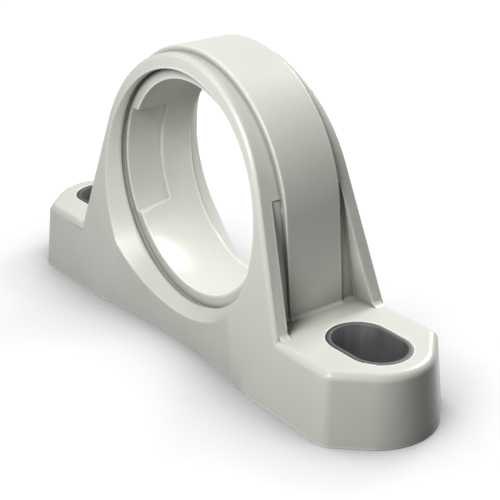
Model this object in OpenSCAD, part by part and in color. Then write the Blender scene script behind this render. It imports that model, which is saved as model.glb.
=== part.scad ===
// Two-bolt plummer block housing, moulded in composite, with a steel sleeve in each slotted foot.
// X runs from bolt to bolt, Y along the bore (the loading notches open towards -Y), Z up.
// The origin is the centre of the flat underside. All lengths are millimetres.

/* [Bore] */
// Height of the bore axis above the underside
bore_h = 42.9; // [40:0.1:46]
// Diameter of the spherical seat
seat_d = 62; // [60:0.5:63]
// Width of the seat between its two shoulders
seat_w = 20.4; // [16:0.2:21]
// Diameter of the end cover groove beside each shoulder
groove_d = 66.2; // [65.6:0.1:67]
// Width of the end cover groove
groove_w = 1.4; // [1:0.1:1.8]
// Diameter of the lip that holds an end cover in
lip_d = 64.8; // [64.2:0.1:65.2]
// Width of the lip before the lead-in opens
lip_w = 0.8; // [0.4:0.1:1.2]
// Angle of the lead-in from the bore axis
lead_in_angle = 30; // [20:1:35]

/* [Loading notches] */
// Diameter of the floor of the two loading notches
notch_d = 63.2; // [62.8:0.1:64]
// Height of a notch at its inner end
notch_h = 28.2; // [22:0.2:32]
// How far a notch runs past the middle of the seat
notch_past = 1; // [0:0.5:3]

/* [Ring and band] */
// Outer diameter of the ring
ring_d = 72.6; // [71:0.2:74]
// Outer diameter of the raised band round the ring
band_d = 75.7; // [74.6:0.1:77]
// Front edge of the band from the middle of the seat
band_front = 7.9; // [6:0.1:9]
// Rear edge of the band from the middle of the seat
band_rear = 9.4; // [7:0.1:10]
// Rounding of the ring's and gussets' outer edges
edge_r = 1.4; // [0.8:0.1:1.8]

/* [Base] */
// From the middle of a slot to the end of its foot, at the underside
end_reach = 19; // [18:0.5:24]
// Depth of the underside from front to rear
base_depth = 39.8; // [38:0.2:42]
// Height of the feet
foot_h = 19.2; // [17:0.2:20]
// Draft of every outer wall
draft = 5.65; // [4.5:0.05:6]
// Radius of the rounded end of each foot
end_r = 16.6; // [15:0.2:18]
// Angle of the bevelled corners of each foot from its length
bevel_angle = 46; // [40:1:50]
// Radius of the corner between bevel and front
corner_r = 5; // [4.6:0.1:6]
// Rounding round the top of each foot
foot_edge_r = 2.2; // [1.4:0.1:2.6]
// Depth of the hollow in the front and rear of the base
hollow_depth = 3.9; // [2:0.1:4.4]
// Radius of that hollow
hollow_r = 180; // [160:5:220]

/* [Gussets] */
// Where the sloping edge of a gusset lands on the foot, from the middle
gusset_reach = 46.4; // [45:0.1:47]
// Thickness of a gusset
gusset_t = 4.1; // [3:0.1:5]
// Rounding where a gusset's sloping edge lands on the foot
landing_r = 2.5; // [1.5:0.1:3]
// Where the ring's own wall reaches the foot, from the middle
wall_reach = 39.2; // [38.6:0.1:40]
// How far the band stands out of that wall at the foot
band_toe = 0.5; // [0.3:0.1:0.9]
// Rounding at the foot of the wall between two gussets
wall_foot_r = 1; // [0.6:0.1:1.4]

/* [Bolt sleeves] */
// Distance between the middles of the two slots
bolt_spacing = 121; // [117:0.5:125]
// Width of the slot for the bolt
slot_w = 14.2; // [13:0.1:15]
// Length of the slot for the bolt, end to end
slot_len = 21.3; // [18:0.1:23]
// Wall of the steel sleeve
sleeve_wall = 1.3; // [0.8:0.1:1.8]
// Bevel inside the two rims of a sleeve
rim_bevel = 0.4; // [0.2:0.1:0.6]

/* [Hidden] */
$fn = 96;

// How far a cut runs past the face it opens
over = 1;
// How much an outer wall moves in for each millimetre of height
slope = tan(draft);
ring_r = ring_d / 2;
band_r = band_d / 2;
top_z = bore_h + band_r + over;

// Length of the underside
base_len = bolt_spacing + 2 * end_reach;

// Plan of a foot: centre of its round end, centre of its corners, length of the bevel between them
foot_x = base_len / 2 - end_r;
bevel_normal = 90 - bevel_angle;
corner_y = base_depth / 2 - corner_r;
corner_x = foot_x + (end_r - corner_r - corner_y * sin(bevel_normal)) / cos(bevel_normal);
bevel_len = (foot_x - corner_x) * sin(bevel_normal) + corner_y * cos(bevel_normal);

// Steps of the bore, outwards from the middle of the seat
seat_edge_r = sqrt(seat_d * seat_d - seat_w * seat_w) / 2;
shoulder = seat_w / 2;
groove_r = groove_d / 2;
groove_end = shoulder + groove_w;
lip_r = lip_d / 2;
lip_end = groove_end + lip_w;

// Balls over the top of the ring that round its outer edges, facets of each, and how far
// they stand proud of the flat faces so that they trim nothing else
rim_steps = 28;
rim_facets = 24;
edge_gap = 0.08;

// Height of the lowest of those balls, clear under the underside
heel_z = -2 * edge_r;

// How far below the start of a gusset its pocket begins, and how far in its landing is rounded
pocket_margin = 3.8;
landing_inset = 0.6 * foot_edge_r;

// Facets of the wide arc of the hollow, when it is drawn as a mesh
hollow_facets = 360;

// Half the depth of the housing at height z
function half_depth(z) = base_depth / 2 - slope * z;

// Angle, from +X, of the point where a line from [reach, foot_h] touches a circle of radius r
function touch_angle(reach, r) =
    let (dx = reach, dz = foot_h - bore_h)
    atan2(dz, dx) + acos(r / norm([dx, dz]));

// That point itself, in the XZ plane
function touch_point(reach, r) =
    let (a = touch_angle(reach, r))
    [r * cos(a), bore_h + r * sin(a)];

// The same line carried on down to height z
function reach_at(reach, r, z) =
    reach + (foot_h - z) * tan(touch_angle(reach, r));

// Height at which the pockets between the gussets start, just under where the gussets leave the ring
pocket_top = touch_point(gusset_reach, ring_r)[1] - pocket_margin;

// Lays an XZ outline down and extrudes it along Y from y0 to y1
module along_bore(y0, y1) {
    translate([0, y1, 0])
        rotate([90, 0, 0])
            linear_extrude(y1 - y0)
                children();
}

// Circle with two straight flanks that land at [+-reach, foot_h] and run on to the underside
module flanked_outline(r, reach) {
    touch = touch_point(reach, r);
    heel = reach_at(reach, r, 0);
    translate([0, bore_h])
        circle(r);
    polygon([
        [touch[0], touch[1]],
        [heel, 0],
        [-heel, 0],
        [-touch[0], touch[1]]
    ]);
}

// Everything between the drafted front and rear planes, each moved in by inset
module drafted_slab(inset) {
    low = half_depth(0) - inset;
    high = half_depth(top_z) - inset;
    rotate([90, 0, 90])
        translate([0, 0, -base_len / 2])
            linear_extrude(base_len)
                polygon([[-low, 0], [low, 0], [high, top_z], [-high, top_z]]);
}

// Section of the foot's edge, from a centre line to a wall that starts r out at the underside
module foot_section(r) {
    centre = [r - (foot_h - foot_edge_r) * slope - foot_edge_r / cos(draft), foot_h - foot_edge_r];
    touch = centre + foot_edge_r * [cos(draft), sin(draft)];
    polygon([[0, 0], [r, 0], touch, centre, [centre[0], foot_h], [0, foot_h]]);
    intersection() {
        translate(centre)
            circle(foot_edge_r);
        square([r, foot_h]);
    }
}

// Straight stretch of that edge: starts at the point from, length len, wall facing the angle
module foot_edge(from, len, angle) {
    translate([from[0], from[1], 0])
        rotate([0, 0, angle])
            rotate([90, 0, 0])
                linear_extrude(len)
                    foot_section(corner_r);
}

// Base with both feet: drafted walls, rounded ends, bevelled corners, rounded top edge
module base() {
    inner = foot_x + (end_r - corner_r) * cos(bevel_normal);
    inner_y = (end_r - corner_r) * sin(bevel_normal);
    linear_extrude(foot_h)
        polygon([
            [-corner_x, -corner_y], [corner_x, -corner_y], [inner, -inner_y], [foot_x, 0],
            [inner, inner_y], [corner_x, corner_y], [-corner_x, corner_y], [-inner, inner_y],
            [-foot_x, 0], [-inner, -inner_y]
        ]);
    for (turn = [0, 180]) {
        rotate([0, 0, turn]) {
            translate([foot_x, 0, 0])
                rotate_extrude()
                    foot_section(end_r);
            foot_edge([corner_x, -corner_y], 2 * corner_x, -90);
            for (side = [0, 1]) {
                mirror([0, side, 0]) {
                    translate([corner_x, corner_y, 0])
                        rotate_extrude()
                            foot_section(corner_r);
                    foot_edge([corner_x, corner_y], bevel_len, bevel_normal);
                }
            }
        }
    }
}

// Ring, its wall down to the base, and the four gussets
module ring_and_gussets() {
    intersection() {
        drafted_slab(0);
        along_bore(-base_depth, base_depth)
            flanked_outline(ring_r, wall_reach);
    }
    difference() {
        intersection() {
            drafted_slab(0);
            along_bore(-base_depth, base_depth)
                flanked_outline(ring_r, gusset_reach);
        }
        intersection() {
            drafted_slab(gusset_t);
            translate([-base_len / 2, -base_depth / 2, -over])
                cube([base_len, base_depth, pocket_top + over]);
        }
    }
}

// One ball of the row that rounds the outer edges, at x and z on the inset outline
module edge_ball(x, z) {
    for (side = [-1, 1]) {
        translate([x, side * (half_depth(z) - edge_r / cos(draft) + edge_gap), z])
            sphere(edge_r, $fn = rim_facets);
    }
}

// Convex envelope of the ring and gussets: its rounded rim trims their sharp outer edges
module rounded_envelope() {
    lean = touch_angle(gusset_reach, ring_r);
    ball_r = ring_r - edge_r + edge_gap;
    ball_step = (180 - 2 * lean) / rim_steps;
    heel_x = reach_at(gusset_reach, ring_r, heel_z) + (edge_gap - edge_r) / cos(lean);
    hull() {
        for (a = [lean : ball_step : 180 - lean + ball_step / 2])
            edge_ball(ball_r * cos(a), bore_h + ball_r * sin(a));
        for (side = [-1, 1])
            edge_ball(side * heel_x, heel_z);
    }
}

// Hollow corner between a flank that lands at reach and the top of the foot
module corner_fillet(reach, r, lean) {
    centre = [reach + r * (1 - sin(lean)) / cos(lean), foot_h + r];
    touch = centre - r * [cos(lean), sin(lean)];
    difference() {
        polygon([
            [reach - r, foot_h - over], [centre[0], foot_h - over], [centre[0], foot_h],
            touch, [touch[0] - r, touch[1]]
        ]);
        translate(centre)
            circle(r);
    }
}

// The same on both sides of the housing
module corner_fillets(reach, r, lean) {
    for (side = [0, 1])
        mirror([side, 0])
            corner_fillet(reach, r, lean);
}

// Rounded corners where the walls and the gussets stand on the feet
module landings() {
    intersection() {
        drafted_slab(gusset_t / 2);
        for (span = [[-base_depth / 2, -band_front], [band_rear, base_depth / 2]])
            along_bore(span[0], span[1])
                corner_fillets(wall_reach, wall_foot_r, touch_angle(wall_reach, ring_r));
    }
    along_bore(-band_front, band_rear)
        corner_fillets(wall_reach + band_toe, wall_foot_r, touch_angle(wall_reach + band_toe, band_r));
    difference() {
        intersection() {
            drafted_slab(landing_inset);
            along_bore(-base_depth, base_depth)
                corner_fillets(gusset_reach, landing_r, touch_angle(gusset_reach, ring_r));
        }
        drafted_slab(gusset_t);
    }
}

// Half section of the bore: seat, shoulders, cover grooves, lips and lead-ins, as [radius, along]
module bore_section() {
    mouth = base_depth / 2 + over;
    mouth_r = lip_r + (mouth - lip_end) * tan(lead_in_angle);
    for (side = [0, 1]) {
        mirror([0, side])
            polygon([
                [0, 0], [0, mouth], [mouth_r, mouth], [lip_r, lip_end], [lip_r, groove_end],
                [groove_r, groove_end], [groove_r, shoulder], [seat_edge_r, shoulder]
            ]);
    }
    intersection() {
        circle(seat_d / 2);
        translate([0, -shoulder])
            square([seat_d / 2, seat_w]);
    }
}

// Two notches in the front half of the seat, through which a bearing is turned in
module loading_notches() {
    front = -base_depth / 2;
    inner = notch_h / 2;
    outer = inner + slope * (notch_past - front);
    intersection() {
        along_bore(front, notch_past)
            translate([0, bore_h])
                circle(notch_d / 2);
        rotate([90, 0, 90])
            translate([0, 0, -notch_d])
                linear_extrude(2 * notch_d)
                    polygon([
                        [front, bore_h - outer], [notch_past + over, bore_h - inner],
                        [notch_past + over, bore_h + inner], [front, bore_h + outer]
                    ]);
    }
}

// Shallow hollow across the foot of the front or rear face
module base_hollow() {
    translate([0, -(base_depth / 2 - hollow_depth + hollow_r), -over])
        cylinder(r = hollow_r, h = hollow_depth / slope + 2 * over, $fn = hollow_facets);
}

// Outline of a slot: width w, length len from end to end
module slot_outline(w, len) {
    for (side = [-1, 1])
        translate([side * (len - w) / 2, 0])
            circle(w / 2);
    square([len - w, w], center = true);
}

// Opening that the sleeve fills
module sleeve_outline() {
    slot_outline(slot_w + 2 * sleeve_wall, slot_len + 2 * sleeve_wall);
}

// Bevel cut inside a rim at height z, opening upwards
module rim_cut(z) {
    reach = (slot_len - slot_w) / 2;
    inner = slot_w / 2 - over;
    outer = slot_w / 2 + rim_bevel + over;
    tall = rim_bevel + 2 * over;
    translate([0, 0, z - rim_bevel - over]) {
        for (side = [-1, 1])
            translate([side * reach, 0, 0])
                cylinder(r1 = inner, r2 = outer, h = tall);
        rotate([90, 0, 90])
            translate([0, 0, -reach])
                linear_extrude(2 * reach)
                    polygon([[-inner, 0], [inner, 0], [outer, tall], [-outer, tall]]);
    }
}

// Steel sleeve moulded into the slot of a foot
module bolt_sleeve(side) {
    color("gray")
        translate([side * bolt_spacing / 2, 0, 0])
            difference() {
                linear_extrude(foot_h)
                    sleeve_outline();
                translate([0, 0, -over])
                    linear_extrude(foot_h + 2 * over)
                        slot_outline(slot_w, slot_len);
                rim_cut(foot_h);
                translate([0, 0, foot_h])
                    mirror([0, 0, 1])
                        rim_cut(foot_h);
            }
}

module housing_body() {
    color("ivory")
        difference() {
            union() {
                base();
                intersection() {
                    ring_and_gussets();
                    rounded_envelope();
                }
                along_bore(-band_front, band_rear)
                    flanked_outline(band_r, wall_reach + band_toe);
                landings();
            }
            translate([0, 0, bore_h])
                rotate([90, 0, 0])
                    rotate_extrude()
                        bore_section();
            loading_notches();
            for (turn = [0, 180])
                rotate([0, 0, turn])
                    base_hollow();
            for (side = [-1, 1])
                translate([side * bolt_spacing / 2, 0, -over])
                    linear_extrude(foot_h + 2 * over)
                        sleeve_outline();
        }
}

housing_body();
bolt_sleeve(-1);  // bolt_sleeve_left
bolt_sleeve(1);  // bolt_sleeve_right
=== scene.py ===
import math

import bmesh
import bpy
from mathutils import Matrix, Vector
from mathutils.geometry import intersect_point_line


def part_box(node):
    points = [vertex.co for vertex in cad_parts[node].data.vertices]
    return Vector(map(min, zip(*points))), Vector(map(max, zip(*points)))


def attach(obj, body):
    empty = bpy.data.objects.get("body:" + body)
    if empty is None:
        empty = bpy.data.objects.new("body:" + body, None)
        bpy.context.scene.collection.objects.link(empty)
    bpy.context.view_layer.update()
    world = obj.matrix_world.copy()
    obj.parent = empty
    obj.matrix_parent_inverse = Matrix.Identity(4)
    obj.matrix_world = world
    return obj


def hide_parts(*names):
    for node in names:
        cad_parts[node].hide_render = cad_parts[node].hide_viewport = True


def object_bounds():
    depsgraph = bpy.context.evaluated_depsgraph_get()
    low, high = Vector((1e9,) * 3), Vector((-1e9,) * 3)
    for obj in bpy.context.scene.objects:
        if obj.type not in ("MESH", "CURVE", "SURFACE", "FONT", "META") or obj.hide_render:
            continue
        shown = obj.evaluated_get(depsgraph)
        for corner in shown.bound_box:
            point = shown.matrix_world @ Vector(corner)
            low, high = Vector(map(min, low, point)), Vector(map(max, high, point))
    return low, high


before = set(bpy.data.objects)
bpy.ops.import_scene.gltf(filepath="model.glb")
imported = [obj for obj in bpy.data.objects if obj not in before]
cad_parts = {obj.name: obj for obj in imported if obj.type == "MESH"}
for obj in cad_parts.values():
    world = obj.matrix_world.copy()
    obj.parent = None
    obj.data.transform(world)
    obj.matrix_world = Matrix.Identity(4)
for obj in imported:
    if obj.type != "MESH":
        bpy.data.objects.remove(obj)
CAD_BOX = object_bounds()

bl_info = {
    "name": "Bearing housing looks",
    "version": (1, 0, 0),
    "blender": (4, 5, 0),
    "location": "View3D > Sidebar > Housing",
    "description": "Finishes of a moulded pillow-block housing with steel slot sleeves",
    "category": "Object",
}

BODY = "root"
SIDES = ("left", "right")
MM = 0.001
BLACK = (0, 0, 0, 1)
WHITE = (1, 1, 1, 1)


# Properties


class HousingEdges(bpy.types.PropertyGroup):
    """How the moulding's edges are rounded"""

    weld: bpy.props.FloatProperty(
        name="Weld distance",
        description="Corners of the CAD mesh nearer than this are one",
        default=0.0005 * MM,
        unit="LENGTH",
    )
    flat: bpy.props.FloatProperty(
        name="Flat angle",
        description="Neighbouring faces that turn by less than this are joined into one",
        default=math.radians(0.06),
        subtype="ANGLE",
    )
    sliver: bpy.props.FloatProperty(
        name="Sliver width",
        description="A face narrower than this is closed up",
        default=0.004 * MM,
        unit="LENGTH",
    )
    radius: bpy.props.FloatProperty(
        name="Edge radius",
        description="Rounding of the moulding's edges and inner corners",
        default=0.3 * MM,
        unit="LENGTH",
    )
    steps: bpy.props.IntProperty(
        name="Edge steps",
        description="Faces across one rounded edge",
        default=3,
        min=1,
    )
    sharp: bpy.props.FloatProperty(
        name="Edge angle",
        description="Faces that meet at more than this are an edge",
        default=math.radians(28),
        subtype="ANGLE",
    )
    room: bpy.props.FloatProperty(
        name="Room beside an edge",
        description="An edge next to anything shorter than this stays as it is",
        default=0.3 * MM,
        unit="LENGTH",
    )
    wedge: bpy.props.FloatProperty(
        name="Narrowest corner",
        description="An edge that ends in a narrower corner than this stays as it is",
        default=math.radians(8),
        subtype="ANGLE",
    )
    fold: bpy.props.FloatProperty(
        name="Fold angle",
        description="Faces that meet at more than this have been folded over by the rounding",
        default=math.radians(140),
        subtype="ANGLE",
    )
    fold_reach: bpy.props.FloatProperty(
        name="Fold reach",
        description="An edge nearer to a fold than this stays as it is",
        default=0.5 * MM,
        unit="LENGTH",
    )
    shaded_radius: bpy.props.FloatProperty(
        name="Shaded radius",
        description="Rounding that the shading gives to what is left",
        default=0.25 * MM,
        unit="LENGTH",
    )


class HousingForm(bpy.types.PropertyGroup):
    """Main sizes of the ring and its gussets, from which their shading is worked out"""

    bore_height: bpy.props.FloatProperty(
        name="Bore height",
        description="Height of the bore axis above the floor",
        default=42.9 * MM,
        unit="LENGTH",
    )
    ring_radius: bpy.props.FloatProperty(
        name="Ring radius",
        description="Outer radius of the ring",
        default=36.3 * MM,
        unit="LENGTH",
    )
    gusset_reach: bpy.props.FloatProperty(
        name="Gusset reach",
        description="Where a gusset lands on its foot, from the middle",
        default=46.4 * MM,
        unit="LENGTH",
    )
    foot_height: bpy.props.FloatProperty(
        name="Foot height",
        description="Height of the feet",
        default=19.2 * MM,
        unit="LENGTH",
    )
    half_depth: bpy.props.FloatProperty(
        name="Half depth",
        description="From the middle to the front at the floor",
        default=19.9 * MM,
        unit="LENGTH",
    )
    draft: bpy.props.FloatProperty(
        name="Draft",
        description="Draft of the front and rear",
        default=math.radians(5.65),
        subtype="ANGLE",
    )
    rim: bpy.props.FloatProperty(
        name="Rim radius",
        description="Rounding of the ring's and gussets' outer edges",
        default=1.4 * MM,
        unit="LENGTH",
    )
    slack: bpy.props.FloatProperty(
        name="Skin slack",
        description="How far a facet's corner may lie off the true skin",
        default=0.15 * MM,
        unit="LENGTH",
    )
    facet: bpy.props.FloatProperty(
        name="Facet angle",
        description="How far a facet may lean from the true skin",
        default=math.radians(18),
        subtype="ANGLE",
    )
    barrel_slack: bpy.props.FloatProperty(
        name="Barrel slack",
        description="How far the corners of a cylinder's facet may differ in radius",
        default=0.02 * MM,
        unit="LENGTH",
    )
    barrel_lean: bpy.props.FloatProperty(
        name="Barrel lean",
        description="How far a cylinder's facet may lean along the bore, as a share",
        default=0.02,
    )


class CompositeFinish(bpy.types.PropertyGroup):
    """Colours and grain of the moulded composite, and the colours of its painted shade and painted
    highlights
    """

    colour: bpy.props.FloatVectorProperty(
        name="Composite colour",
        description="Off-white of the moulding",
        default=(0.76, 0.76, 0.70),
        subtype="COLOR",
    )
    warm_colour: bpy.props.FloatVectorProperty(
        name="Composite cloud colour",
        description="Slightly warmer tone that clouds through the moulding",
        default=(0.73, 0.725, 0.655),
        subtype="COLOR",
    )
    # Painted shade: the moulding is coloured darker deep in its inner corners and grooves, where
    # shade falls
    crevice_shade_colour: bpy.props.FloatVectorProperty(
        name="Crevice colour",
        description="Tone of the moulding deep in its inner corners and grooves",
        default=(0.22, 0.22, 0.20),
        subtype="COLOR",
    )
    # Painted highlight: the moulding is coloured lighter along its outer edges, where rounded
    # edges catch the light
    edge_highlight_colour: bpy.props.FloatVectorProperty(
        name="Edge colour",
        description="Lighter tone of the moulding along its outer edges",
        default=(0.90, 0.90, 0.85),
        subtype="COLOR",
    )
    edge_highlight_reach: bpy.props.FloatProperty(
        name="Edge reach",
        description="How far from an outer edge that tone begins",
        default=0.9 * MM,
        unit="LENGTH",
    )
    # Where the painted shade of inner corners and of the feet of small steps begins
    crevice_shade_reach: bpy.props.FloatProperty(
        name="Crevice reach",
        description="How far from an inner corner that tone begins",
        default=12 * MM,
        unit="LENGTH",
    )
    crease_shade_reach: bpy.props.FloatProperty(
        name="Crease reach",
        description="How far from the foot of a small step that tone deepens",
        default=1.4 * MM,
        unit="LENGTH",
    )
    roughness: bpy.props.FloatProperty(
        name="Composite roughness",
        description="Roughness of the satin skin",
        default=0.30,
    )
    grain: bpy.props.FloatProperty(
        name="Grain size",
        description="Size of one grain of the skin",
        default=0.35 * MM,
        unit="LENGTH",
    )
    grain_depth: bpy.props.FloatProperty(
        name="Grain depth",
        description="Depth of the grain",
        default=0.004 * MM,
        unit="LENGTH",
    )


class SleeveSizes(bpy.types.PropertyGroup):
    """Sizes of the steel sleeve in a slot"""

    wall: bpy.props.FloatProperty(
        name="Sleeve wall",
        description="Thickness of the sleeve's wall",
        default=1.3 * MM,
        unit="LENGTH",
    )
    rim: bpy.props.FloatProperty(
        name="Rim rounding",
        description="Rounding of the sleeve's two rims",
        default=0.2 * MM,
        unit="LENGTH",
    )
    rim_steps: bpy.props.IntProperty(
        name="Rim steps",
        description="Points on the rounding of a rim",
        default=3,
        min=1,
    )
    facets: bpy.props.IntProperty(
        name="Sleeve facets",
        description="Points round the sleeve, so that none lies on its short axis",
        default=98,
        min=10,
    )


class SleeveFinish(bpy.types.PropertyGroup):
    """Colours and roughness of the sleeve's steel, and the painted shade on its rims"""

    colour: bpy.props.FloatVectorProperty(
        name="Steel colour",
        description="Dull drawn steel",
        default=(0.25, 0.247, 0.25),
        subtype="COLOR",
    )
    streak_colour: bpy.props.FloatVectorProperty(
        name="Steel streak colour",
        description="Brighter streaks along the draw",
        default=(0.30, 0.295, 0.295),
        subtype="COLOR",
    )
    streak_depth: bpy.props.FloatProperty(
        name="Streak depth",
        description="Depth of the streaks",
        default=0.006 * MM,
        unit="LENGTH",
    )
    # Painted shade: the sleeve's cut ends, its rims, are coloured darker than its walls
    end_shade_colour: bpy.props.FloatVectorProperty(
        name="Steel end colour",
        description="Duller tone of the sleeve's cut ends",
        default=(0.10, 0.10, 0.10),
        subtype="COLOR",
    )
    roughness: bpy.props.FloatProperty(
        name="Steel roughness",
        description="Roughness of the bare steel",
        default=0.56,
    )


class StageSettings(bpy.types.PropertyGroup):
    """Camera, lamps and floor"""

    camera: bpy.props.FloatVectorProperty(
        name="Camera place",
        description="Where the camera stands",
        default=(0.267314, -0.19078, 0.16904),
        subtype="TRANSLATION",
        unit="LENGTH",
    )
    target: bpy.props.FloatVectorProperty(
        name="Camera target",
        description="What the camera looks at",
        default=(0.001939, 0.012308, 0.012825),
        subtype="TRANSLATION",
        unit="LENGTH",
    )
    lens: bpy.props.FloatProperty(
        name="Focal length",
        description="Focal length in millimetres, on a 36 mm sensor",
        default=93.757,
    )
    shift: bpy.props.FloatVectorProperty(
        name="Camera shift",
        description="Shift of the picture, as shares of its width",
        default=(-0.0261, 0.0449),
        size=2,
    )
    lamp_size: bpy.props.FloatProperty(
        name="Lamp size",
        description="Side of each square lamp",
        default=0.12,
        unit="LENGTH",
    )
    front_lamp: bpy.props.FloatVectorProperty(
        name="Front lamp place",
        description="Where the front lamp hangs",
        default=(0.075, -0.19, 0.205),
        subtype="TRANSLATION",
        unit="LENGTH",
    )
    front_power: bpy.props.FloatProperty(
        name="Front lamp power",
        description="Power of the front lamp in watts",
        default=0.61,
    )
    rear_lamp: bpy.props.FloatVectorProperty(
        name="Rear lamp place",
        description="Where the rear lamp hangs",
        default=(-0.06, 0.30, 0.255),
        subtype="TRANSLATION",
        unit="LENGTH",
    )
    rear_power: bpy.props.FloatProperty(
        name="Rear lamp power",
        description="Power of the rear lamp in watts",
        default=1.18,
    )
    room_light: bpy.props.FloatProperty(
        name="Room light",
        description="Strength of the light that comes from all round",
        default=0.06,
    )
    floor_half: bpy.props.FloatProperty(
        name="Floor reach",
        description="From the middle of the floor to its edge",
        default=3.0,
        unit="LENGTH",
    )
    floor_colour: bpy.props.FloatVectorProperty(
        name="Floor colour",
        description="Pale floor",
        default=(0.18, 0.18, 0.18),
        subtype="COLOR",
    )
    floor_bounce: bpy.props.FloatProperty(
        name="Floor bounce",
        description="Share of its colour with which the floor throws light back on the housing",
        default=0.14,
    )
    floor_lift: bpy.props.FloatProperty(
        name="Floor lift",
        description="Light that the camera sees on the floor beside what the lamps give",
        default=0.86,
    )
    # The soft contact shadow is painted into the floor's glow
    shadow_reach: bpy.props.FloatProperty(
        name="Contact shadow reach",
        description="How far from the housing its soft contact shadow begins on the floor",
        default=0.05,
        unit="LENGTH",
    )
    pool_radius: bpy.props.FloatProperty(
        name="Lit pool radius",
        description="Where the lamps' pool of light on the floor fades into the white backdrop",
        default=0.30,
        unit="LENGTH",
    )


# Node trees


class Signal:
    """The output of a node, which can be written into maths"""

    def __init__(self, recipe, socket):
        self.recipe = recipe
        self.socket = socket

    def maths(self, operation, first, second):
        return self.recipe.node("ShaderNodeMath", {"operation": operation}, {0: first, 1: second})

    def __add__(self, other):
        return self.maths("ADD", self, other)

    __radd__ = __add__

    def __sub__(self, other):
        return self.maths("SUBTRACT", self, other)

    def __rsub__(self, other):
        return self.maths("SUBTRACT", other, self)

    def __mul__(self, other):
        return self.maths("MULTIPLY", self, other)

    __rmul__ = __mul__


class Recipe:
    """A node tree, and the one method that adds a node to it"""

    def __init__(self, tree):
        self.tree = tree

    def node(self, kind, settings=None, sockets=None, output=0):
        """Adds a node, applies its settings, a ramp's stops too, then sets or links its sockets"""
        made = self.tree.nodes.new(kind)
        for name, value in (settings or {}).items():
            if name == "stops":
                set_stops(made.color_ramp, value)
            else:
                setattr(made, name, value)
        for name, value in (sockets or {}).items():
            if isinstance(value, Signal):
                self.tree.links.new(value.socket, made.inputs[name])
            else:
                made.inputs[name].default_value = value
        return Signal(self, made.outputs[output]) if made.outputs else made


def set_stops(ramp, stops):
    """Gives a colour ramp its stops, each a position and a grey"""
    while len(ramp.elements) < len(stops):
        ramp.elements.new(1)
    for element, (position, grey) in zip(ramp.elements, stops):
        element.position = position
        element.color = (grey, grey, grey, 1)


def new_material(name):
    """An empty material and its recipe"""
    material = bpy.data.materials.new(name)
    material.use_nodes = True
    material.node_tree.nodes.clear()
    return material, Recipe(material.node_tree)


def opaque(colour):
    """A colour property as the four numbers that a socket takes"""
    return (*colour, 1)


# A Mix node's sockets for colours go by number, because their names stand in it more than once
MIX_FACTOR, MIX_FIRST, MIX_SECOND, MIX_RESULT = 0, 6, 7, 2

# Stops of the ramps, each a position and a grey
CLOUD_STOPS = [(0.42, 0.0), (0.68, 1.0)]
CREVICE_SHADE_STOPS = [(0.30, 0.0), (0.80, 1.0)]
CREASE_SHADE_STOPS = [(0.45, 0.25), (0.90, 1.0)]
EDGE_HIGHLIGHT_STOPS = [(0.70, 0.0), (0.97, 1.0)]
STREAK_STOPS = [(0.35, 0.0), (0.72, 1.0)]
CONTACT_SHADOW_STOPS = [(0.50, 0.25), (0.65, 0.52), (0.80, 0.80), (0.92, 0.94), (1.0, 1.0)]

# The steel's noise is drawn out along the height into streaks
UPRIGHT_STREAKS = (1.0, 1.0, 0.04)


def mixed(recipe, factor, first, second):
    """A colour between two, by a factor"""
    return recipe.node(
        "ShaderNodeMix",
        {"data_type": "RGBA"},
        {MIX_FACTOR: factor, MIX_FIRST: first, MIX_SECOND: second},
        output=MIX_RESULT,
    )


def ramped(recipe, value, stops):
    """A grey that follows a value through the stops of a ramp"""
    return recipe.node("ShaderNodeValToRGB", {"stops": stops}, {"Fac": value})


def noise(recipe, place, per_metre, detail, roughness):
    """Soft noise, with its number of lumps in a metre"""
    return recipe.node(
        "ShaderNodeTexNoise",
        sockets={"Vector": place, "Scale": per_metre, "Detail": detail, "Roughness": roughness},
    )


def swing(noise_value, width):
    """A noise as a number that swings about zero, over a width"""
    return (noise_value - 0.5) * width


def air(recipe, reach, stops, **settings):
    """How open the air is within reach of a surface, or inside it how solid the body is, ramped
    into the mask of a painted shade, highlight or contact shadow
    """
    open_share = recipe.node(
        "ShaderNodeAmbientOcclusion",
        {"samples": 8, **settings},
        {"Distance": reach},
        output="AO",
    )
    return ramped(recipe, open_share, stops)


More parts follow.
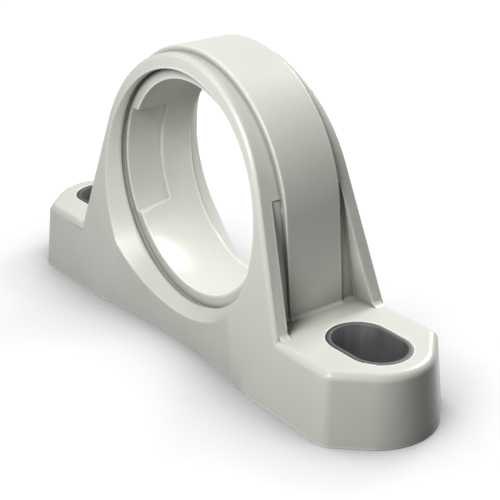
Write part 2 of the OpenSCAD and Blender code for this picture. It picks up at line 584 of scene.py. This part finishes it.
def composite_material(finish, edges):
    """Moulded composite: off-white, faintly clouded, with a fine satin grain, painted shade in its
    inner corners and creases and painted highlights along its outer edges
    """
    material, recipe = new_material("moulded_composite")
    place = recipe.node("ShaderNodeTexCoord", output="Object")
    clouds = noise(recipe, place, per_metre=45.0, detail=3.0, roughness=0.55)
    patches = noise(recipe, place, per_metre=260.0, detail=4.0, roughness=0.6)
    grain = noise(recipe, place, per_metre=1 / finish.grain, detail=2.0, roughness=0.5)
    cloudiness = ramped(recipe, clouds, CLOUD_STOPS)
    cloudy = mixed(recipe, cloudiness, opaque(finish.colour), opaque(finish.warm_colour))
    # Painted shade: darker where little open air surrounds the surface, in inner corners and
    # creases
    crevice_shade_mask = air(recipe, finish.crevice_shade_reach, CREVICE_SHADE_STOPS, only_local=True)
    crease_shade_mask = air(recipe, finish.crease_shade_reach, CREASE_SHADE_STOPS, only_local=True)
    # Painted highlight: lighter along the outer edges, where the body is thin within reach
    edge_highlight_mask = air(recipe, finish.edge_highlight_reach, EDGE_HIGHLIGHT_STOPS, only_local=True, inside=True)
    with_edge_highlights = mixed(recipe, edge_highlight_mask, opaque(finish.edge_highlight_colour), cloudy)
    # The painted shade goes over the colour with its painted edge highlights
    colour = mixed(recipe, crevice_shade_mask * crease_shade_mask, opaque(finish.crevice_shade_colour), with_edge_highlights)
    roughness = finish.roughness + swing(clouds, 0.10) + swing(patches, 0.08)
    rounded = recipe.node(
        "ShaderNodeBevel", {"samples": 8}, {"Radius": edges.shaded_radius}
    )
    surface = recipe.node(
        "ShaderNodeBump",
        sockets={
            "Strength": 1.0,
            "Distance": finish.grain_depth,
            "Height": grain,
            "Normal": rounded,
        },
    )
    skin = recipe.node(
        "ShaderNodeBsdfPrincipled",
        sockets={"Base Color": colour, "Roughness": roughness, "Normal": surface, "IOR": 1.5},
    )
    recipe.node("ShaderNodeOutputMaterial", sockets={"Surface": skin})
    return material


def steel_material(finish):
    """Drawn steel: dull and dark, with upright streaks on the walls and painted shade on the rims
    """
    material, recipe = new_material("drawn_steel")
    place = recipe.node("ShaderNodeTexCoord", output="Object")
    drawn = recipe.node(
        "ShaderNodeMapping", sockets={"Vector": place, "Scale": UPRIGHT_STREAKS}
    )
    streaks = noise(recipe, drawn, per_metre=900.0, detail=4.0, roughness=0.65)
    blotches = noise(recipe, place, per_metre=180.0, detail=3.0, roughness=0.5)
    brightness = ramped(recipe, streaks, STREAK_STOPS)
    walls = mixed(recipe, brightness, opaque(finish.colour), opaque(finish.streak_colour))
    # Painted shade on the faces that look up or down, the sleeve's rims
    facing = recipe.node("ShaderNodeNewGeometry", output="Normal")
    upward = recipe.node("ShaderNodeSeparateXYZ", sockets={"Vector": facing}, output="Z")
    end = recipe.node("ShaderNodeMath", {"operation": "ABSOLUTE"}, {0: upward})
    colour = mixed(recipe, end, walls, opaque(finish.end_shade_colour))
    roughness = finish.roughness + swing(blotches, 0.16) + swing(streaks, 0.12)
    surface = recipe.node(
        "ShaderNodeBump",
        sockets={"Strength": 0.6, "Distance": finish.streak_depth, "Height": streaks},
    )
    skin = recipe.node(
        "ShaderNodeBsdfPrincipled",
        sockets={
            "Base Color": colour,
            "Metallic": 1.0,
            "Roughness": roughness,
            "Normal": surface,
        },
    )
    recipe.node("ShaderNodeOutputMaterial", sockets={"Surface": skin})
    return material


def seen_directly(recipe):
    """1 for camera, mirror and glass rays, and 0 for the rays that carry light about"""
    camera = recipe.node("ShaderNodeLightPath", output="Is Camera Ray")
    glossy = recipe.node("ShaderNodeLightPath", output="Is Glossy Ray")
    through = recipe.node("ShaderNodeLightPath", output="Is Transmission Ray")
    return camera + glossy + through


def floor_material(settings):
    """Pale floor that keeps the object's shadow from the lamps, with a painted soft contact shadow
    in its glow
    """
    material, recipe = new_material("pale_floor")
    seen = seen_directly(recipe)
    dim = [part * settings.floor_bounce for part in settings.floor_colour]
    colour = mixed(recipe, seen, opaque(dim), opaque(settings.floor_colour))
    matt = recipe.node("ShaderNodeBsdfDiffuse", sockets={"Color": colour})
    place = recipe.node("ShaderNodeTexCoord", output="Object")
    from_middle = recipe.node(
        "ShaderNodeVectorMath", {"operation": "LENGTH"}, {0: place}, output="Value"
    )
    lift = recipe.node(
        "ShaderNodeMapRange",
        {"interpolation_type": "SMOOTHSTEP"},
        {
            "Value": from_middle,
            "From Max": settings.pool_radius,
            "To Min": settings.floor_lift,
            "To Max": 1.0,
        },
    )
    # Painted shadow: the glow that the camera sees is dimmed close to the housing
    contact = air(recipe, settings.shadow_reach, CONTACT_SHADOW_STOPS, samples=16)
    light = mixed(recipe, seen * lift * contact, BLACK, WHITE)
    glow = recipe.node("ShaderNodeEmission", sockets={"Color": light})
    both = recipe.node("ShaderNodeAddShader", sockets={0: matt, 1: glow})
    recipe.node("ShaderNodeOutputMaterial", sockets={"Surface": both})
    return material


# Shapes


def new_object(name, data):
    """Adds an object to the scene, at the origin"""
    made = bpy.data.objects.new(name, data)
    bpy.context.scene.collection.objects.link(made)
    return made


def new_piece(name, mesh, material):
    """Adds a mesh to the scene as a piece with one material"""
    if not mesh.polygons:
        raise RuntimeError(f"{name} came out without a face")
    mesh.name = name
    mesh.materials.clear()
    mesh.materials.append(material)
    return new_object(name, mesh)


def finished_mesh(draft):
    """The mesh that a draft has with its modifiers, after which the draft is deleted"""
    bpy.context.view_layer.update()
    depsgraph = bpy.context.evaluated_depsgraph_get()
    mesh = bpy.data.meshes.new_from_object(draft.evaluated_get(depsgraph))
    drafted = draft.data
    draft.modifiers.clear()
    bpy.data.objects.remove(draft)
    bpy.data.meshes.remove(drafted)
    return mesh


def joined_faces(node, edges):
    """A CAD node's shape with its triangles joined into wide convex faces"""
    shape = bmesh.new()
    shape.from_mesh(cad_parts[node].data)
    bmesh.ops.remove_doubles(shape, verts=shape.verts, dist=edges.weld)
    bmesh.ops.dissolve_limit(
        shape, angle_limit=edges.flat, verts=shape.verts, edges=shape.edges
    )
    bmesh.ops.connect_verts_concave(shape, faces=shape.faces)
    # Closing the slivers can leave a face that isn't convex, so these are split once more
    bmesh.ops.dissolve_degenerate(shape, dist=edges.sliver, edges=shape.edges)
    bmesh.ops.connect_verts_concave(shape, faces=shape.faces)
    return shape


def is_sharp(edge, angle):
    """Whether the two faces at an edge meet at more than an angle"""
    return edge.is_manifold and edge.calc_face_angle() > angle


def shell_normal(point, form):
    """Direction of the rounded skin of ring and gussets at a point, or None off that skin"""
    # Seen from the front, the outline is the ring's circle and the slopes that leave it
    across = Vector((abs(point.x), 0, point.z - form.bore_height))
    drop = form.foot_height - form.bore_height
    landing = math.hypot(drop, form.gusset_reach)
    slope_turn = math.atan2(drop, form.gusset_reach) + math.acos(form.ring_radius / landing)
    turn = max(slope_turn, math.atan2(across.z, across.x))
    outline = Vector((math.cos(turn), 0, math.sin(turn)))
    inside_outline = form.ring_radius - across.dot(outline)
    # Seen from the side, the wall is the drafted front, or the rear that mirrors it
    wall = Vector((0, math.cos(form.draft), math.sin(form.draft)))
    foot = Vector((0, form.half_depth, 0))
    inside_wall = (foot - Vector((0, abs(point.y), point.z))).dot(wall)
    # Their rounding has the rim's radius
    normal = outline * max(0, form.rim - inside_outline) + wall * max(0, form.rim - inside_wall)
    if abs(normal.length - form.rim) > form.slack:
        return None
    normal.x = math.copysign(normal.x, point.x)
    normal.y = math.copysign(normal.y, point.y)
    return normal.normalized()


def on_rim(point, form):
    """Whether a point lies where the skin turns from the outline to the front or rear"""
    normal = shell_normal(point, form)
    past_outline = math.sin(form.draft) / 4
    short_of_wall = math.cos(2 * form.draft)
    return normal is not None and past_outline < abs(normal.y) < short_of_wall


def folded_points(shape, fold):
    """Ends of the edges at which two faces lie back on each other"""
    folded = [edge for edge in shape.edges if edge.calc_face_angle(0) > fold]
    return [vertex.co.copy() for edge in folded for vertex in edge.verts]


def is_near(edge, points, reach):
    """Whether an edge passes within reach of any of the points"""
    first, last = (vertex.co for vertex in edge.verts)
    for point in points:
        share = intersect_point_line(point, first, last)[1]
        if (first.lerp(last, min(1, max(0, share))) - point).length < reach:
            return True
    return False


def with_rounded(shape, chosen, edges):
    """A copy of a shape in which the chosen edges are rounded"""
    copy = shape.copy()
    copy.edges.ensure_lookup_table()
    bmesh.ops.bevel(
        copy,
        geom=[copy.edges[edge.index] for edge in chosen],
        offset=edges.radius,
        offset_type="OFFSET",
        segments=edges.steps,
        profile=0.5,
        affect="EDGES",
        clamp_overlap=False,
    )
    copy.normal_update()
    return copy


def round_edges(shape, edges, form):
    """A copy with each sharp edge and inner corner rounded that has room for it"""
    sharp = [edge for edge in shape.edges if is_sharp(edge, edges.sharp)]
    known = set(sharp)

    def has_room(vertex):
        clear = all(e in known or e.calc_length() >= edges.room for e in vertex.link_edges)
        wide = all(c.calc_angle() >= edges.wedge for c in vertex.link_loops)
        return clear and wide and not on_rim(vertex.co, form)

    shape.edges.index_update()
    chosen = [edge for edge in sharp if all(has_room(vertex) for vertex in edge.verts)]
    # Each round leaves out the edges beside which the last one folded a face, until none folds
    while True:
        rounded = with_rounded(shape, chosen, edges)
        folds = folded_points(rounded, edges.fold)
        kept = [edge for edge in chosen if not is_near(edge, folds, edges.fold_reach)]
        if len(kept) == len(chosen):
            return rounded
        rounded.free()
        chosen = kept


def shade_softly(shape, angle):
    """Smooth faces, with a hard line only where they still meet at more than angle"""
    for face in shape.faces:
        face.smooth = True
    for edge in shape.edges:
        edge.smooth = not is_sharp(edge, angle)


def barrel_normal(point, face_normal, form):
    """Direction away from the bore axis, or towards it where the face looks inwards"""
    away = Vector((point.x, 0, point.z - form.bore_height)).normalized()
    return away if away.dot(face_normal) > 0 else -away


def lies_on_barrel(face, corners, form):
    """Whether a face is part of a cylinder about the bore axis"""
    radii = [math.hypot(corner.x, corner.z - form.bore_height) for corner in corners]
    even = max(radii) - min(radii) < form.barrel_slack
    return even and abs(face.normal.y) < form.barrel_lean


def true_normals(mesh, form):
    """Corner normals in which the skin and the cylinders are as smooth as the real ones"""
    places = [vertex.co for vertex in mesh.vertices]
    normals = [Vector(corner.vector) for corner in mesh.corner_normals]
    exact_at = {}
    for face in mesh.polygons:
        corners = [places[vertex] for vertex in face.vertices]
        if lies_on_barrel(face, corners, form):
            exact = [barrel_normal(corner, face.normal, form) for corner in corners]
        else:
            exact = [shell_normal(corner, form) for corner in corners]
        if all(normal and normal.angle(face.normal) < form.facet for normal in exact):
            for loop, vertex, normal in zip(face.loop_indices, face.vertices, exact):
                normals[loop] = normal
                exact_at.setdefault(vertex, []).append(normal)
    # A neighbouring face takes the exact normal of a corner that the two share
    for loop in mesh.loops:
        for normal in exact_at.get(loop.vertex_index, []):
            if normal.angle(normals[loop.index]) < form.facet:
                normals[loop.index] = normal
                break
    return normals


def housing_mesh(edges, form):
    """The housing's CAD shape with rounded edges and smooth faces"""
    shape = joined_faces("housing_body", edges)
    rounded = round_edges(shape, edges, form)
    shape.free()
    shade_softly(rounded, edges.sharp)
    mesh = bpy.data.meshes.new("housing_draft")
    rounded.to_mesh(mesh)
    rounded.free()
    return mesh


SLEEVE_INPUTS = {
    "Outer Width": "NodeSocketFloat",
    "Outer Length": "NodeSocketFloat",
    "Wall": "NodeSocketFloat",
    "Height": "NodeSocketFloat",
    "Rim": "NodeSocketFloat",
    "Place": "NodeSocketVector",
    "Steel": "NodeSocketMaterial",
}


def sleeve_tree(sizes):
    """Geometry nodes that sweep a sleeve's wall round its slot"""
    tree = bpy.data.node_groups.new("slot_sleeve", "GeometryNodeTree")
    tree.interface.new_socket("Geometry", in_out="OUTPUT", socket_type="NodeSocketGeometry")
    for name, kind in SLEEVE_INPUTS.items():
        tree.interface.new_socket(name, in_out="INPUT", socket_type=kind)
    recipe = Recipe(tree)
    width, length, wall, height, rim, place, steel = (
        recipe.node("NodeGroupInput", output=name) for name in SLEEVE_INPUTS
    )
    round_end = recipe.node(
        "GeometryNodeCurvePrimitiveCircle",
        sockets={"Resolution": sizes.facets, "Radius": (width - wall) * 0.5},
    )
    position = recipe.node("GeometryNodeInputPosition")
    across = recipe.node("ShaderNodeSeparateXYZ", sockets={"Vector": position}, output="X")
    side = recipe.node("ShaderNodeMath", {"operation": "SIGN"}, {0: across})
    stretch = recipe.node(
        "ShaderNodeCombineXYZ", sockets={"X": side * (length - width) * 0.5}
    )
    path = recipe.node(
        "GeometryNodeSetPosition", sockets={"Geometry": round_end, "Offset": stretch}
    )
    section = recipe.node(
        "GeometryNodeCurvePrimitiveQuadrilateral", sockets={"Width": wall, "Height": height}
    )
    rounded = recipe.node(
        "GeometryNodeFilletCurve",
        {"mode": "POLY"},
        {"Curve": section, "Count": sizes.rim_steps, "Radius": rim},
    )
    swept = recipe.node(
        "GeometryNodeCurveToMesh", sockets={"Curve": path, "Profile Curve": rounded}
    )
    raised = recipe.node(
        "GeometryNodeTransform", sockets={"Geometry": swept, "Translation": place}
    )
    smooth = recipe.node("GeometryNodeSetShadeSmooth", sockets={"Geometry": raised})
    real = recipe.node("GeometryNodeRealizeInstances", sockets={"Geometry": smooth})
    done = recipe.node(
        "GeometryNodeSetMaterial", sockets={"Geometry": real, "Material": steel}
    )
    recipe.node("NodeGroupOutput", sockets={"Geometry": done})
    return tree


def sleeve_mesh(tree, node, sizes, steel):
    """The mesh of one sleeve, grown by the nodes to the size of its CAD solid"""
    low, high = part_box(node)
    size = high - low
    values = {
        "Outer Width": size.y,
        "Outer Length": size.x,
        "Wall": sizes.wall,
        "Height": size.z,
        "Rim": sizes.rim,
        "Place": (low + high) / 2,
        "Steel": steel,
    }
    draft = new_object("sleeve_draft", bpy.data.meshes.new("sleeve_draft"))
    grown = draft.modifiers.new("sleeve", "NODES")
    grown.node_group = tree
    for item in tree.interface.items_tree:
        if item.in_out == "INPUT":
            grown[item.identifier] = values[item.name]
    return finished_mesh(draft)


# Stage


def aim(holder, place, target):
    """Puts a lamp or the camera at a place and turns it to a target"""
    holder.location = place
    view = Vector(target) - Vector(place)
    holder.rotation_euler = view.to_track_quat("-Z", "Y").to_euler()


def add_floor(settings):
    """Adds the floor, a wide square"""
    half = settings.floor_half
    mesh = bpy.data.meshes.new("floor")
    corners = [(-half, -half, 0), (half, -half, 0), (half, half, 0), (-half, half, 0)]
    mesh.from_pydata(corners, [], [(0, 1, 2, 3)])
    new_piece("floor", mesh, floor_material(settings))


def add_lamp(name, place, size, power):
    """Adds a square soft lamp that looks at the middle of the housing"""
    lamp = bpy.data.lights.new(name, "AREA")
    lamp.size = size
    lamp.energy = power
    low, high = CAD_BOX
    aim(new_object(name, lamp), place, (low + high) / 2)


def add_room(scene, settings):
    """Gives the scene its weak light from all round, where the camera sees a white backdrop"""
    world = bpy.data.worlds.new("room")
    scene.world = world
    world.use_nodes = True
    world.node_tree.nodes.clear()
    recipe = Recipe(world.node_tree)
    seen = seen_directly(recipe)
    strength = seen + (1 - seen) * settings.room_light
    backdrop = recipe.node(
        "ShaderNodeBackground", sockets={"Color": WHITE, "Strength": strength}
    )
    recipe.node("ShaderNodeOutputWorld", sockets={"Surface": backdrop})


def add_camera(scene, settings):
    """Adds the camera and looks through it"""
    lens = bpy.data.cameras.new("camera")
    lens.lens = settings.lens
    lens.shift_x, lens.shift_y = settings.shift
    lens.clip_start = 10 * MM
    scene.camera = new_object("camera", lens)
    aim(scene.camera, settings.camera, settings.target)


# Operators


class MakeHousing(bpy.types.Operator):
    """Make the moulded housing with rounded edges and its composite skin"""

    bl_idname = "object.make_bearing_housing"
    bl_label = "Moulded housing"

    def execute(self, context):
        scene = context.scene
        material = composite_material(scene.composite_finish, scene.housing_edges)
        shape = housing_mesh(scene.housing_edges, scene.housing_form)
        draft = new_piece("housing_draft", shape, material)
        # At a corner the widest face counts most, so that flat walls are shaded flat
        even = draft.modifiers.new("even_shading", "WEIGHTED_NORMAL")
        even.mode = "FACE_AREA"
        even.weight = 100
        even.keep_sharp = True
        mesh = finished_mesh(draft)
        mesh.normals_split_custom_set(true_normals(mesh, scene.housing_form))
        housing = new_piece("housing_skin", mesh, material)
        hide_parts("housing_body")
        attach(housing, BODY)
        return {"FINISHED"}


class MakeSleeves(bpy.types.Operator):
    """Make the steel sleeve in the slot of each foot"""

    bl_idname = "object.make_slot_sleeves"
    bl_label = "Slot sleeves"

    def execute(self, context):
        sizes = context.scene.sleeve_sizes
        steel = steel_material(context.scene.sleeve_finish)
        tree = sleeve_tree(sizes)
        for side in SIDES:
            node = f"bolt_sleeve_{side}"
            sleeve = new_piece(f"sleeve_{side}", sleeve_mesh(tree, node, sizes, steel), steel)
            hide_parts(node)
            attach(sleeve, BODY)
        return {"FINISHED"}


class MakeStage(bpy.types.Operator):
    """Make the floor, the lamps, the room light and the camera"""

    bl_idname = "scene.make_housing_stage"
    bl_label = "Stage"

    def execute(self, context):
        settings = context.scene.stage_settings
        add_floor(settings)
        add_lamp("front_lamp", settings.front_lamp, settings.lamp_size, settings.front_power)
        add_lamp("rear_lamp", settings.rear_lamp, settings.lamp_size, settings.rear_power)
        add_room(context.scene, settings)
        add_camera(context.scene, settings)
        context.scene.view_settings.view_transform = "Standard"
        return {"FINISHED"}


class HousingPanel(bpy.types.Panel):
    """Lists what can be made"""

    bl_idname = "VIEW3D_PT_bearing_housing"
    bl_label = "Bearing housing"
    bl_space_type = "VIEW_3D"
    bl_region_type = "UI"
    bl_category = "Housing"

    def draw(self, context):
        for operator in OPERATORS:
            self.layout.operator(operator.bl_idname)
        for group, kind in PROPERTY_GROUPS.items():
            for name in kind.__annotations__:
                self.layout.prop(getattr(context.scene, group), name)


OPERATORS = (MakeHousing, MakeSleeves, MakeStage)
PROPERTY_GROUPS = {
    "housing_form": HousingForm,
    "housing_edges": HousingEdges,
    "composite_finish": CompositeFinish,
    "sleeve_sizes": SleeveSizes,
    "sleeve_finish": SleeveFinish,
    "stage_settings": StageSettings,
}


def register():
    for name, group in PROPERTY_GROUPS.items():
        bpy.utils.register_class(group)
        setattr(bpy.types.Scene, name, bpy.props.PointerProperty(type=group))
    for made in (*OPERATORS, HousingPanel):
        bpy.utils.register_class(made)


def unregister():
    for made in reversed((*OPERATORS, HousingPanel)):
        bpy.utils.unregister_class(made)
    for name, group in PROPERTY_GROUPS.items():
        delattr(bpy.types.Scene, name)
        bpy.utils.unregister_class(group)


def main():
    """Makes everything in order"""
    register()
    bpy.ops.object.make_bearing_housing()
    bpy.ops.object.make_slot_sleeves()
    bpy.ops.scene.make_housing_stage()


if __name__ == "__main__":
    main()
